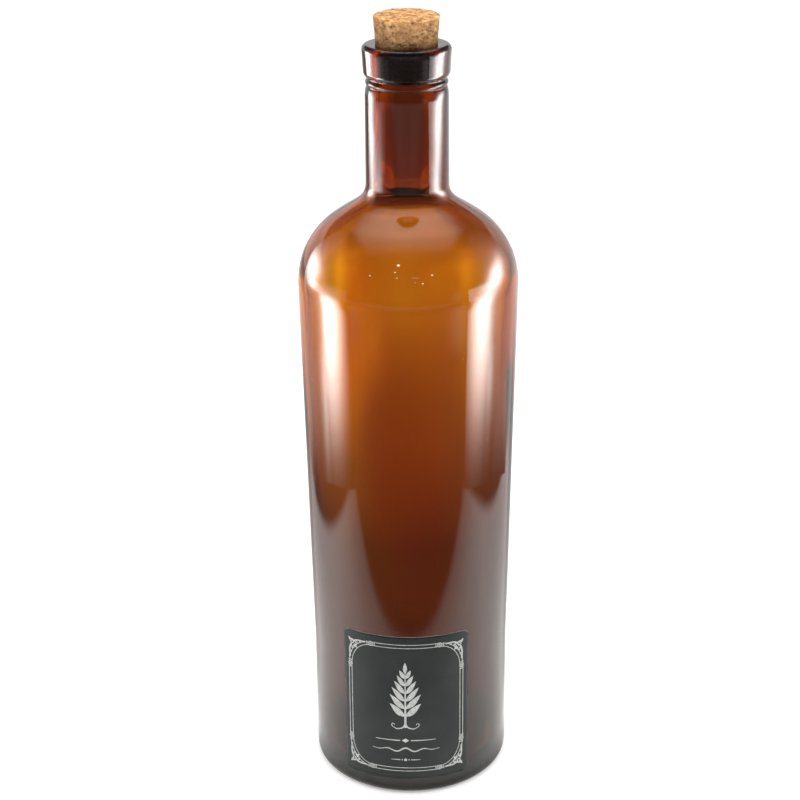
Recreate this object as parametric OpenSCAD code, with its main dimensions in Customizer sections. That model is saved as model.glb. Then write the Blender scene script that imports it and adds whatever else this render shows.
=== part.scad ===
/* [Bottle body] */
// Outside diameter of the straight lower body
base_d = 72; // [66:1:78]
// Outside diameter at the shoulder, where the body is widest
shoulder_d = 78; // [74:1:84]
// Height at which the body starts to widen towards the shoulder
flare_start_z = 50; // [40:1:70]
// Height at which the shoulder starts to turn in
shoulder_z = 190.3; // [180:0.1:200]
// Outside radius of the heel
heel_r = 5.5; // [3:0.5:8]
// Glass thickness in the straight lower body
wall = 2.9; // [2:0.1:4]
// Glass thickness under the inside of the bottle, at the heel
floor_t = 6; // [4:0.5:9]

/* [Neck and finish] */
// Outside diameter of the neck at the shoulder
neck_d = 29.2; // [28:0.2:30]
// Height of the rim above the table
rim_z = 275; // [270:1:285]
// Largest outside diameter of the collar
collar_d = 30.8; // [30:0.1:32]
// Height of the collar
collar_h = 11.4; // [9:0.2:14]
// Bore that the cork is pressed into
bore_d = 20.8; // [20:0.1:21.2]
// Inside diameter of the neck below the cork
neck_bore_d = 20; // [18:0.2:20]

/* [Base] */
// Radius of the hollow pushed up under the base
pushup_r = 24; // [18:1:27]
// Height of that hollow at its centre
pushup_h = 5; // [3:0.5:6]

/* [Cork] */
// Diameter of the cork's top face
cork_top_d = 22.7; // [22:0.1:24]
// Diameter of the cork's lower face
cork_bottom_d = 19.2; // [18:0.1:19.6]
// Height of cork standing above the rim
cork_out = 9.8; // [8:0.2:12]
// Depth of cork inside the bore
cork_in = 12.6; // [10:0.2:15]
// Gap between cork and bore, on the radius
cork_gap = 0.04; // [0.02:0.01:0.08]

/* [Label] */
// Width of the label, measured round the body
label_w = 48.4; // [40:0.2:56]
// Height of the label
label_h = 59.2; // [50:0.2:66]
// Height of the label's lower edge above the table
label_z = 8; // [7:0.5:12]
// Thickness of the label
label_t = 0.2; // [0.14:0.02:0.3]
// Radius of the label's corners
label_corner = 2; // [1:0.25:4]

/* [Hidden] */
$fn = 96;

base_r = base_d / 2;
neck_r = neck_d / 2;
bore_r = bore_d / 2;
collar_r = collar_d / 2;

// Lean of the body line
lean = atan((shoulder_d / 2 - base_r) / (shoulder_z - flare_start_z));

// Outside of the shoulder, from the body up: a round, a nearly straight slope
// and two hollow curves into the neck, each tangent to the next. The angles
// are those of the surface's normal above level.
round_a = 56;
slope_a = 58.5;
hollow_a = 50;
slope_r = 170;
hollow_r = 25;
root_r = 7;
round_r = (shoulder_d / 2 - neck_r - slope_r * (cos(round_a) - cos(slope_a))
    - hollow_r * (cos(hollow_a) - cos(slope_a)) - root_r * (1 - cos(hollow_a))) / (cos(lean) - cos(round_a));
function dir(a) = [cos(a), sin(a)];
round_c = [shoulder_d / 2, shoulder_z] - round_r * dir(-lean);
slope_c = round_c + (round_r - slope_r) * dir(round_a);
hollow_c = slope_c + (slope_r + hollow_r) * dir(slope_a);
root_c = hollow_c - (hollow_r - root_r) * dir(hollow_a);

// Inside: the same lines, moved in by the wall
in_base_r = base_r - wall;
in_heel_r = 7;
in_neck_r = neck_bore_d / 2;
in_floor_z = floor_t;
in_hollow = hollow_c - (hollow_r + wall) * dir(hollow_a);
in_root_r = (in_hollow[0] - in_neck_r) / (1 - cos(hollow_a));
in_root_c = in_hollow + in_root_r * dir(hollow_a);
in_dome_h = pushup_h * 0.8;

// Collar, ring and grooves, from the rim down
collar_z = rim_z - collar_h;
ring_z = collar_z - 2.7;
neck_top_z = ring_z - 3.9;

// Band inside the bore that the cork grips
grip_h = 5;
bore_len = 17;

// Flat lens under a chord: a circle that bulges up by h over half-width w
function cap_r(w, h) = (w * w + h * h) / (2 * h);

// Points on an arc about c, from angle a0 to a1, both ends included
function arc(c, r, a0, a1, n) = [for (i = [0:n]) let (a = a0 + (a1 - a0) * i / n) c + r * [cos(a), sin(a)]];

// Half of the outside outline, from the foot up to the rim
outer_pts = concat(
    [[0, 0]],
    arc([base_r - heel_r, heel_r], heel_r, -90, 0, 10),
    [[base_r, flare_start_z]],
    arc(round_c, round_r, -lean, round_a, 18),
    arc(slope_c, slope_r, round_a + 1, slope_a - 0.5, 2),
    arc(hollow_c, hollow_r, slope_a + 180, hollow_a + 182, 4),
    arc(root_c, root_r, hollow_a + 180, 180, 10),
    // neck, narrowing a little towards the ring, with a rounded top
    arc([neck_r - 0.15 - 13, neck_top_z], 13, 0, 15, 4),
    // lower groove, ring, upper groove
    [[neck_r - 0.85, ring_z - 0.4]],
    arc([neck_r - 1.65, ring_z + 1.2], 1.3, -50, 50, 8),
    [[neck_r - 0.85, collar_z - 0.25]],
    // collar
    arc([collar_r - 2.65, collar_z + 2.2], 2.2, -80, 0, 8),
    arc([collar_r - 1.6, rim_z - 1.6], 1.6, 4, 90, 8),
    [[0, rim_z]]);

// Half of the outline of the space inside, from the floor up past the rim
inner_pts = concat(
    [[0, in_floor_z]],
    arc([in_base_r - in_heel_r, in_floor_z + in_heel_r], in_heel_r, -90, 0, 8),
    [[in_base_r, flare_start_z]],
    arc(round_c, round_r - wall, -lean, round_a, 16),
    arc(slope_c, slope_r - wall, round_a + 1, slope_a - 0.5, 2),
    arc(hollow_c, hollow_r + wall, slope_a + 180, hollow_a + 182, 4),
    arc(in_root_c, in_root_r, hollow_a + 180, 180, 8),
    [[in_neck_r, rim_z - bore_len - 4], [bore_r, rim_z - bore_len]],
    // rounded lip of the bore
    arc([bore_r + 0.8, rim_z - 0.8], 0.8, 180, 90, 6),
    [[bore_r + 0.8, rim_z + 1], [0, rim_z + 1]]);

// One piece of blown glass: body, shoulder, neck, ring and collar
module glass_bottle() {
    color([0.45, 0.2, 0.06, 0.6])
    difference() {
        rotate_extrude() polygon(outer_pts);
        difference() {
            rotate_extrude() polygon(inner_pts);
            // the floor inside rises over the push-up
            translate([0, 0, in_floor_z + in_dome_h - cap_r(pushup_r, in_dome_h)])
                sphere(cap_r(pushup_r, in_dome_h));
        }
        // push-up under the base
        translate([0, 0, pushup_h - cap_r(pushup_r, pushup_h)])
            sphere(cap_r(pushup_r, pushup_h));
    }
}

// Short tapered cork, pressed in to about the depth of the collar
module cork_stopper() {
    grip_r = bore_r - cork_gap;
    color([0.8, 0.6, 0.38])
    rotate_extrude() {
        polygon([[0, rim_z - cork_in],
                 [cork_bottom_d / 2 - 0.6, rim_z - cork_in],
                 [cork_bottom_d / 2, rim_z - cork_in + 0.6],
                 [grip_r, rim_z - grip_h],
                 [grip_r, rim_z - 0.9],
                 [bore_r + 0.22, rim_z + 0.5],
                 [cork_top_d / 2, rim_z + cork_out - 0.7],
                 [cork_top_d / 2 - 0.7, rim_z + cork_out],
                 [0, rim_z + cork_out]]);
        translate([cork_top_d / 2 - 0.7, rim_z + cork_out - 0.7]) circle(0.7);
    }
}

// Flat outline of the label seen from the front, as a solid along Y
module label_slab(half_w) {
    translate([0, -base_r / 2, label_z])
    rotate([90, 0, 0])
    linear_extrude(base_r) union() {
        translate([-half_w, label_corner]) square([2 * half_w, label_h - 2 * label_corner]);
        translate([-half_w + label_corner, 0]) square([2 * (half_w - label_corner), label_h]);
        for (x = [-1, 1], z = [label_corner, label_h - label_corner])
            translate([x * (half_w - label_corner), z]) circle(label_corner);
    }
}

// Thin label that follows the glass, straight part and flare alike
module front_label() {
    // half-width seen from the front of an arc label_w long
    half_w = base_r * sin(label_w / 2 / base_r * 180 / PI);
    top_z = label_z + label_h + 1;
    grow = tan(lean) * (top_z - flare_start_z);
    color([0.2, 0.22, 0.22])
    intersection() {
        label_slab(half_w);
        difference() {
            rotate_extrude() polygon([[0, label_z - 1], [base_r + label_t, label_z - 1],
                [base_r + label_t, flare_start_z], [base_r + label_t + grow, top_z], [0, top_z]]);
            rotate_extrude() polygon([[0, label_z - 2], [base_r, label_z - 2],
                [base_r, flare_start_z], [base_r + grow + tan(lean), top_z + 1], [0, top_z + 1]]);
        }
    }
}

glass_bottle();
cork_stopper();
front_label();
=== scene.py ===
import math
import bpy
import numpy as np
from mathutils import Matrix, Vector


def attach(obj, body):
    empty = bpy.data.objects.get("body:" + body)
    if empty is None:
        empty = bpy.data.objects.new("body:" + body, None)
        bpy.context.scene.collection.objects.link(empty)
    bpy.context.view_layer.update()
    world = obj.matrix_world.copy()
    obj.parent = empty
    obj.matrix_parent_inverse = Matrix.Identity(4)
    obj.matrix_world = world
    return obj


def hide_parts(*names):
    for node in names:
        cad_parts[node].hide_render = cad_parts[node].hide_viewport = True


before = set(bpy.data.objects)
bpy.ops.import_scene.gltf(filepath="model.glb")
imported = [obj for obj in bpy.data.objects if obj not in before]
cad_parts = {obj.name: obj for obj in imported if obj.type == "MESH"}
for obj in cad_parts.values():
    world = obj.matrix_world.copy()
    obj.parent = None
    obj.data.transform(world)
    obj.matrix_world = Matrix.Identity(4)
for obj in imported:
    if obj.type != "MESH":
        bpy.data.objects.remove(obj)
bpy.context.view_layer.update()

MM = 0.001
rng = np.random.default_rng(7)

# ----------------------------------------------------------------------------
# Profile of the glass, in millimetres: the same lines as the CAD, finer arcs
# ----------------------------------------------------------------------------
BASE_R, SHOULDER_R_MAX, FLARE_Z, SHOULDER_Z, HEEL_R = 36.0, 39.0, 50.0, 190.3, 5.5
WALL, FLOOR_T, NECK_R, RIM_Z, COLLAR_R, COLLAR_H = 2.9, 6.0, 14.6, 275.0, 15.4, 11.4
BORE_R, IN_NECK_R, PUSH_R, PUSH_H = 10.4, 10.0, 24.0, 5.0
CORK_OUT, CORK_IN, CORK_TOP_R, CORK_BOT_R = 9.8, 12.6, 11.35, 9.6
LABEL_W, LABEL_H, LABEL_Z, LABEL_T, LABEL_C = 48.4, 59.2, 8.0, 0.2, 2.0

LEAN = math.atan((SHOULDER_R_MAX - BASE_R) / (SHOULDER_Z - FLARE_Z))
# shoulder: a round, a nearly straight slope and two hollow curves into the neck
ROUND_A, SLOPE_A, HOLLOW_A = math.radians(56), math.radians(58.5), math.radians(50)
SLOPE_R, HOLLOW_R, ROOT_R = 170.0, 25.0, 7.0
SH_R = (SHOULDER_R_MAX - NECK_R - SLOPE_R * (math.cos(ROUND_A) - math.cos(SLOPE_A))
        - HOLLOW_R * (math.cos(HOLLOW_A) - math.cos(SLOPE_A)) - ROOT_R * (1 - math.cos(HOLLOW_A))) \
    / (math.cos(LEAN) - math.cos(ROUND_A))


def on(c, r, a):
    return (c[0] + r * math.cos(a), c[1] + r * math.sin(a))


SH_C = on((SHOULDER_R_MAX, SHOULDER_Z), -SH_R, -LEAN)
SLOPE_C = on(SH_C, SH_R - SLOPE_R, ROUND_A)
HOLLOW_C = on(SLOPE_C, SLOPE_R + HOLLOW_R, SLOPE_A)
ROOT_C = on(HOLLOW_C, ROOT_R - HOLLOW_R, HOLLOW_A)
IN_HOLLOW = on(HOLLOW_C, -(HOLLOW_R + WALL), HOLLOW_A)
IN_ROOT_R = (IN_HOLLOW[0] - IN_NECK_R) / (1 - math.cos(HOLLOW_A))
IN_ROOT_C = on(IN_HOLLOW, IN_ROOT_R, HOLLOW_A)
COLLAR_Z = RIM_Z - COLLAR_H
RING_Z = COLLAR_Z - 2.7
NECK_TOP = RING_Z - 3.9


def arc(c, r, a0, a1, n):
    t = np.linspace(a0, a1, n + 1)
    return [(c[0] + r * math.cos(a), c[1] + r * math.sin(a)) for a in t]


def line(p, q, n):
    return [(p[0] + (q[0] - p[0]) * i / n, p[1] + (q[1] - p[1]) * i / n) for i in range(1, n)]


def cap(w, h, z0, n):
    """A flat dome over half-width w, from its edge to the axis."""
    r = (w * w + h * h) / (2 * h)
    return [(w * (1 - i / n), z0 + math.sqrt(r * r - (w * (1 - i / n)) ** 2) - (r - h)) for i in range(n + 1)]


D = math.radians
outer = []
outer += cap(PUSH_R, PUSH_H, 0.0, 14)[::-1]          # push-up, from the axis out
outer += arc((PUSH_R + 1.2, 1.2), 1.2, D(-150), D(-90), 4)[1:]
outer += line((PUSH_R + 1.2, 0.0), (BASE_R - HEEL_R, 0.0), 3)
outer += arc((BASE_R - HEEL_R, HEEL_R), HEEL_R, D(-90), 0, 16)
outer += line((BASE_R, HEEL_R), (BASE_R, FLARE_Z), 22) + [(BASE_R, FLARE_Z)]
outer += line((BASE_R, FLARE_Z), (SHOULDER_R_MAX, SHOULDER_Z), 60)
outer += arc(SH_C, SH_R, -LEAN, ROUND_A, 38)
outer += arc(SLOPE_C, SLOPE_R, ROUND_A, SLOPE_A, 6)[1:]
outer += arc(HOLLOW_C, HOLLOW_R, SLOPE_A + math.pi, HOLLOW_A + math.pi, 6)[1:]
outer += arc(ROOT_C, ROOT_R, HOLLOW_A + math.pi, math.pi, 16)[1:]
outer += line((NECK_R, ROOT_C[1]), (NECK_R - 0.15, NECK_TOP), 14)
outer += arc((NECK_R - 0.15 - 13, NECK_TOP), 13, 0, D(15), 8)
outer += [(NECK_R - 0.80, RING_Z - 0.25), (NECK_R - 0.86, RING_Z + 0.0)]
outer += arc((NECK_R - 1.65, RING_Z + 1.2), 1.3, D(-52), D(52), 14)
outer += [(NECK_R - 0.90, COLLAR_Z - 0.22), (NECK_R - 0.98, COLLAR_Z - 0.05)]
outer += arc((COLLAR_R - 2.65, COLLAR_Z + 2.2), 2.2, D(-62), 0, 12)
outer += line((COLLAR_R - 0.45, COLLAR_Z + 2.2), (COLLAR_R, RIM_Z - 1.6), 6)
outer += arc((COLLAR_R - 1.6, RIM_Z - 1.6), 1.6, 0, D(90), 12)
outer += line((COLLAR_R - 1.6, RIM_Z), (BORE_R + 0.8, RIM_Z), 3)

inner = arc((BORE_R + 0.8, RIM_Z - 0.8), 0.8, D(90), D(180), 8)
inner += line((BORE_R, RIM_Z - 0.8), (BORE_R, RIM_Z - 17), 8) + [(BORE_R, RIM_Z - 17)]
inner += line((BORE_R, RIM_Z - 17), (IN_NECK_R, RIM_Z - 21), 5) + [(IN_NECK_R, RIM_Z - 21)]
inner += line((IN_NECK_R, RIM_Z - 21), (IN_NECK_R, IN_ROOT_C[1]), 12)
inner += arc(IN_ROOT_C, IN_ROOT_R, math.pi, HOLLOW_A + math.pi, 16)
inner += arc(HOLLOW_C, HOLLOW_R + WALL, HOLLOW_A + math.pi, SLOPE_A + math.pi, 6)[1:]
inner += arc(SLOPE_C, SLOPE_R - WALL, SLOPE_A, ROUND_A, 6)[1:]
inner += arc(SH_C, SH_R - WALL, ROUND_A, -LEAN, 36)[1:]
inner += line((SH_C[0] + (SH_R - WALL) * math.cos(LEAN), SH_C[1] - (SH_R - WALL) * math.sin(LEAN)),
              (BASE_R - WALL, FLARE_Z), 60) + [(BASE_R - WALL, FLARE_Z)]
inner += line((BASE_R - WALL, FLARE_Z), (BASE_R - WALL, FLOOR_T + 7), 16)
inner += arc((BASE_R - WALL - 7, FLOOR_T + 7), 7.0, 0, D(-82), 14)
inner += cap(PUSH_R, PUSH_H * 0.8, FLOOR_T, 14)


def outer_r(z):
    """Outside radius of the body in mm, up to the shoulder."""
    return np.where(z < FLARE_Z, BASE_R, BASE_R + (z - FLARE_Z) * math.tan(LEAN))


# ----------------------------------------------------------------------------
# Small helpers
# ----------------------------------------------------------------------------
def new_mesh(name, verts, faces, smooth=True, mats=(), idx=None):
    me = bpy.data.meshes.new(name)
    me.from_pydata([tuple(v) for v in verts], [], faces)
    me.update()
    for m in mats:
        me.materials.append(m)
    if idx is not None:
        me.polygons.foreach_set("material_index", idx)
    me.polygons.foreach_set("use_smooth", [smooth] * len(me.polygons))
    ob = bpy.data.objects.new(name, me)
    bpy.context.scene.collection.objects.link(ob)
    return ob


def sm_noise(n_modes, seed, lo, hi):
    """Smooth periodic field of (angle, height in mm): a sum of waves."""
    r = np.random.default_rng(seed)
    k = r.integers(lo, hi, n_modes)
    kz = r.uniform(-0.075, 0.075, n_modes)
    ph = r.uniform(0, 2 * math.pi, n_modes)
    am = r.uniform(0.4, 1.0, n_modes) / np.sqrt(n_modes)

    def f(th, z):
        s = 0
        for i in range(n_modes):
            s = s + am[i] * np.cos(k[i] * th + kz[i] * z + ph[i])
        return s
    return f


def node_mat(name):
    m = bpy.data.materials.new(name)
    m.use_nodes = True
    nt = m.node_tree
    nt.nodes.clear()
    out = nt.nodes.new("ShaderNodeOutputMaterial")
    b = nt.nodes.new("ShaderNodeBsdfPrincipled")
    nt.links.new(b.outputs[0], out.inputs["Surface"])
    return m, nt, b, out


def N(nt, kind, **kw):
    n = nt.nodes.new(kind)
    for k, v in kw.items():
        if k in n.inputs:
            n.inputs[k].default_value = v
        else:
            setattr(n, k, v)
    return n


def ramp(nt, stops, interp="LINEAR"):
    n = nt.nodes.new("ShaderNodeValToRGB")
    cr = n.color_ramp
    cr.interpolation = interp
    while len(cr.elements) > 1:
        cr.elements.remove(cr.elements[-1])
    cr.elements[0].position, cr.elements[0].color = stops[0][0], (*stops[0][1], 1)
    for p, c in stops[1:]:
        e = cr.elements.new(p)
        e.color = (*c, 1)
    return n


def srgb(r, g, b):
    return tuple(((c / 255) / 12.92 if c / 255 <= 0.04045 else ((c / 255 + 0.055) / 1.055) ** 2.4) for c in (r, g, b))


# ----------------------------------------------------------------------------
# Materials
# ----------------------------------------------------------------------------
def glass_material():
    m, nt, b, out = node_mat("amber_glass_mat")
    b.inputs["Base Color"].default_value = (1, 1, 1, 1)
    b.inputs["Transmission Weight"].default_value = 1.0
    b.inputs["IOR"].default_value = 1.52
    tc = N(nt, "ShaderNodeTexCoord")
    # faint cloudiness of handled glass; the waviness of the surface is in the mesh
    n1 = N(nt, "ShaderNodeTexNoise", Scale=60.0, Detail=3.0, Roughness=0.6)
    r1 = N(nt, "ShaderNodeMapRange")
    r1.inputs["From Min"].default_value, r1.inputs["From Max"].default_value = 0.35, 0.75
    r1.inputs["To Min"].default_value, r1.inputs["To Max"].default_value = 0.0, 0.02
    nt.links.new(tc.outputs["Object"], n1.inputs["Vector"])
    nt.links.new(n1.outputs["Fac"], r1.inputs["Value"])
    nt.links.new(r1.outputs[0], b.inputs["Roughness"])
    va = N(nt, "ShaderNodeVolumeAbsorption")
    # absorption per metre is (1 - colour) * density
    va.inputs["Color"].default_value = (0.885, 0.679, 0.0, 1)
    va.inputs["Density"].default_value = 1100.0
    nt.links.new(va.outputs[0], out.inputs["Volume"])
    return m


GLASS = glass_material()


def cork_material():
    m, nt, b, out = node_mat("cork_mat")
    tc = N(nt, "ShaderNodeTexCoord")
    # granules, streaks and pores
    vor = N(nt, "ShaderNodeTexVoronoi", Scale=980.0, Randomness=1.0)
    nz = N(nt, "ShaderNodeTexNoise", Scale=330.0, Detail=6.0, Roughness=0.75)
    mp = N(nt, "ShaderNodeMapping")
    mp.inputs["Scale"].default_value = (1, 1, 2.6)
    st = N(nt, "ShaderNodeTexNoise", Scale=420.0, Detail=4.0, Roughness=0.6)
    big = N(nt, "ShaderNodeTexNoise", Scale=90.0, Detail=2.0)
    for n in (vor, nz, big):
        nt.links.new(tc.outputs["Object"], n.inputs["Vector"])
    nt.links.new(tc.outputs["Object"], mp.inputs["Vector"])
    nt.links.new(mp.outputs[0], st.inputs["Vector"])
    base = ramp(nt, [(0.32, srgb(118, 78, 46)), (0.43, srgb(172, 125, 80)), (0.55, srgb(206, 160, 108)), (0.70, srgb(236, 197, 148))])
    nt.links.new(nz.outputs["Fac"], base.inputs["Fac"])
    gran = ramp(nt, [(0.0, (0.50, 0.44, 0.38)), (0.40, (0.95, 0.95, 0.94)), (1.0, (1.18, 1.15, 1.10))])
    nt.links.new(vor.outputs["Color"], gran.inputs["Fac"])
    mul = N(nt, "ShaderNodeMix", data_type="RGBA", blend_type="MULTIPLY")
    mul.inputs[0].default_value = 0.9
    nt.links.new(base.outputs[0], mul.inputs[6])
    nt.links.new(gran.outputs[0], mul.inputs[7])
    pore = ramp(nt, [(0.0, (0, 0, 0)), (0.345, (0, 0, 0)), (0.43, (1, 1, 1))])
    nt.links.new(st.outputs["Fac"], pore.inputs["Fac"])
    dark = N(nt, "ShaderNodeMix", data_type="RGBA")
    nt.links.new(pore.outputs[0], dark.inputs[0])
    dark.inputs[6].default_value = (*srgb(116, 76, 46), 1)
    nt.links.new(mul.outputs[2], dark.inputs[7])
    # pit attribute: the dark colour of lenticels and pores, plus painted shade that deepens with each pit's depth and
    # darkens the chips on the top edge
    at = N(nt, "ShaderNodeAttribute", attribute_name="pit_colour_and_shade", attribute_type="GEOMETRY")
    pit_colour_and_shade = N(nt, "ShaderNodeMix", data_type="RGBA")
    nt.links.new(at.outputs["Fac"], pit_colour_and_shade.inputs[0])
    nt.links.new(dark.outputs[2], pit_colour_and_shade.inputs[6])
    pit_colour_and_shade.inputs[7].default_value = (*srgb(84, 47, 24), 1)
    # painted shade: the part pressed into the bore is darkened to a fifth, standing in for the shade inside the glass
    # neck
    sx = N(nt, "ShaderNodeSeparateXYZ")
    nt.links.new(tc.outputs["Object"], sx.inputs[0])
    bore_shade = N(nt, "ShaderNodeMapRange")
    bore_shade.inputs["From Min"].default_value, bore_shade.inputs["From Max"].default_value = (RIM_Z - 0.4) * MM, (RIM_Z + 0.5) * MM
    bore_shade.inputs["To Min"].default_value, bore_shade.inputs["To Max"].default_value = 0.2, 1.0
    nt.links.new(sx.outputs["Z"], bore_shade.inputs["Value"])
    sc = N(nt, "ShaderNodeVectorMath", operation="SCALE")
    nt.links.new(pit_colour_and_shade.outputs[2], sc.inputs[0])
    # painted light and shade: this attribute brightens the cut top and top edge and darkens the side near the lip
    cork_tone_and_light = N(nt, "ShaderNodeAttribute", attribute_name="cork_tone_and_light", attribute_type="GEOMETRY")
    mt = N(nt, "ShaderNodeMath", operation="MULTIPLY")
    nt.links.new(bore_shade.outputs[0], mt.inputs[0])
    nt.links.new(cork_tone_and_light.outputs["Fac"], mt.inputs[1])
    nt.links.new(mt.outputs[0], sc.inputs["Scale"])
    nt.links.new(sc.outputs[0], b.inputs["Base Color"])
    b.inputs["Roughness"].default_value = 0.82
    b.inputs["Specular IOR Level"].default_value = 0.3
    bp = N(nt, "ShaderNodeBump", Strength=0.9, Distance=0.0005)
    nt.links.new(nz.outputs["Fac"], bp.inputs["Height"])
    nt.links.new(bp.outputs[0], b.inputs["Normal"])
    return m


CORK = cork_material()


def label_material():
    m, nt, b, out = node_mat("label_paper_mat")
    tc = N(nt, "ShaderNodeTexCoord")
    fib = N(nt, "ShaderNodeTexNoise", Scale=900.0, Detail=4.0, Roughness=0.6)
    cloud = N(nt, "ShaderNodeTexNoise", Scale=55.0, Detail=3.0)
    for n in (fib, cloud):
        nt.links.new(tc.outputs["Object"], n.inputs["Vector"])
    col = ramp(nt, [(0.35, srgb(22, 27, 26)), (0.6, srgb(30, 35, 34)), (0.75, srgb(37, 42, 41))])
    nt.links.new(cloud.outputs["Fac"], col.inputs["Fac"])
    grain = ramp(nt, [(0.3, (0.86, 0.86, 0.86)), (0.7, (1.08, 1.08, 1.08))])
    nt.links.new(fib.outputs["Fac"], grain.inputs["Fac"])
    mul = N(nt, "ShaderNodeMix", data_type="RGBA", blend_type="MULTIPLY")
    mul.inputs[0].default_value = 1.0
    nt.links.new(col.outputs[0], mul.inputs[6])
    nt.links.new(grain.outputs[0], mul.inputs[7])
    nt.links.new(mul.outputs[2], b.inputs["Base Color"])
    rr = N(nt, "ShaderNodeMapRange")
    b.inputs["Specular IOR Level"].default_value = 0.3
    rr.inputs["To Min"].default_value, rr.inputs["To Max"].default_value = 0.36, 0.5
    nt.links.new(fib.outputs["Fac"], rr.inputs["Value"])
    nt.links.new(rr.outputs[0], b.inputs["Roughness"])
    bp = N(nt, "ShaderNodeBump", Strength=0.12, Distance=0.0001)
    nt.links.new(fib.outputs["Fac"], bp.inputs["Height"])
    nt.links.new(bp.outputs[0], b.inputs["Normal"])
    return m


def edge_material():
    m, nt, b, out = node_mat("label_core_mat")
    tc = N(nt, "ShaderNodeTexCoord")
    n = N(nt, "ShaderNodeTexNoise", Scale=700.0, Detail=3.0)
    nt.links.new(tc.outputs["Object"], n.inputs["Vector"])
    c = ramp(nt, [(0.35, srgb(150, 150, 144)), (0.65, srgb(196, 196, 190))])
    nt.links.new(n.outputs["Fac"], c.inputs["Fac"])
    nt.links.new(c.outputs[0], b.inputs["Base Color"])
    b.inputs["Roughness"].default_value = 0.8
    return m


def silver_material():
    m, nt, b, out = node_mat("silver_print_mat")
    tc = N(nt, "ShaderNodeTexCoord")
    n = N(nt, "ShaderNodeTexNoise", Scale=1400.0, Detail=3.0, Roughness=0.7)
    nt.links.new(tc.outputs["Object"], n.inputs["Vector"])
    c = ramp(nt, [(0.3, srgb(138, 139, 138)), (0.5, srgb(170, 171, 169)), (0.7, srgb(190, 190, 187))])
    nt.links.new(n.outputs["Fac"], c.inputs["Fac"])
    nt.links.new(c.outputs[0], b.inputs["Base Color"])
    b.inputs["Metallic"].default_value = 0.25
    rr = N(nt, "ShaderNodeMapRange")
    rr.inputs["To Min"].default_value, rr.inputs["To Max"].default_value = 0.38, 0.6
    nt.links.new(n.outputs["Fac"], rr.inputs["Value"])
    nt.links.new(rr.outputs[0], b.inputs["Roughness"])
    return m


# painted glints: the seed bubbles glow with a cream emission, in place of the lamps they would mirror
def seed_glint_material():
    m, nt, b, out = node_mat("seed_painted_glint_mat")
    tc = N(nt, "ShaderNodeTexCoord")
    n = N(nt, "ShaderNodeTexNoise", Scale=2600.0, Detail=2.0)
    nt.links.new(tc.outputs["Object"], n.inputs["Vector"])
    c = ramp(nt, [(0.3, srgb(246, 222, 176)), (0.7, srgb(255, 244, 214))])
    nt.links.new(n.outputs["Fac"], c.inputs["Fac"])
    nt.links.new(c.outputs[0], b.inputs["Base Color"])
    nt.links.new(c.outputs[0], b.inputs["Emission Color"])
    b.inputs["Emission Strength"].default_value = 1.0
    b.inputs["Roughness"].default_value = 0.12
    return m


SEED_GLINT = seed_glint_material()
PAPER, EDGE, SILVER = label_material(), edge_material(), silver_material()

# ----------------------------------------------------------------------------
# Glass bottle: one closed lathe, outside, rim, bore and inside
# ----------------------------------------------------------------------------
SEAMS = (0.0, math.pi)          # parting line of the mould, at the two sides


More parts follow.
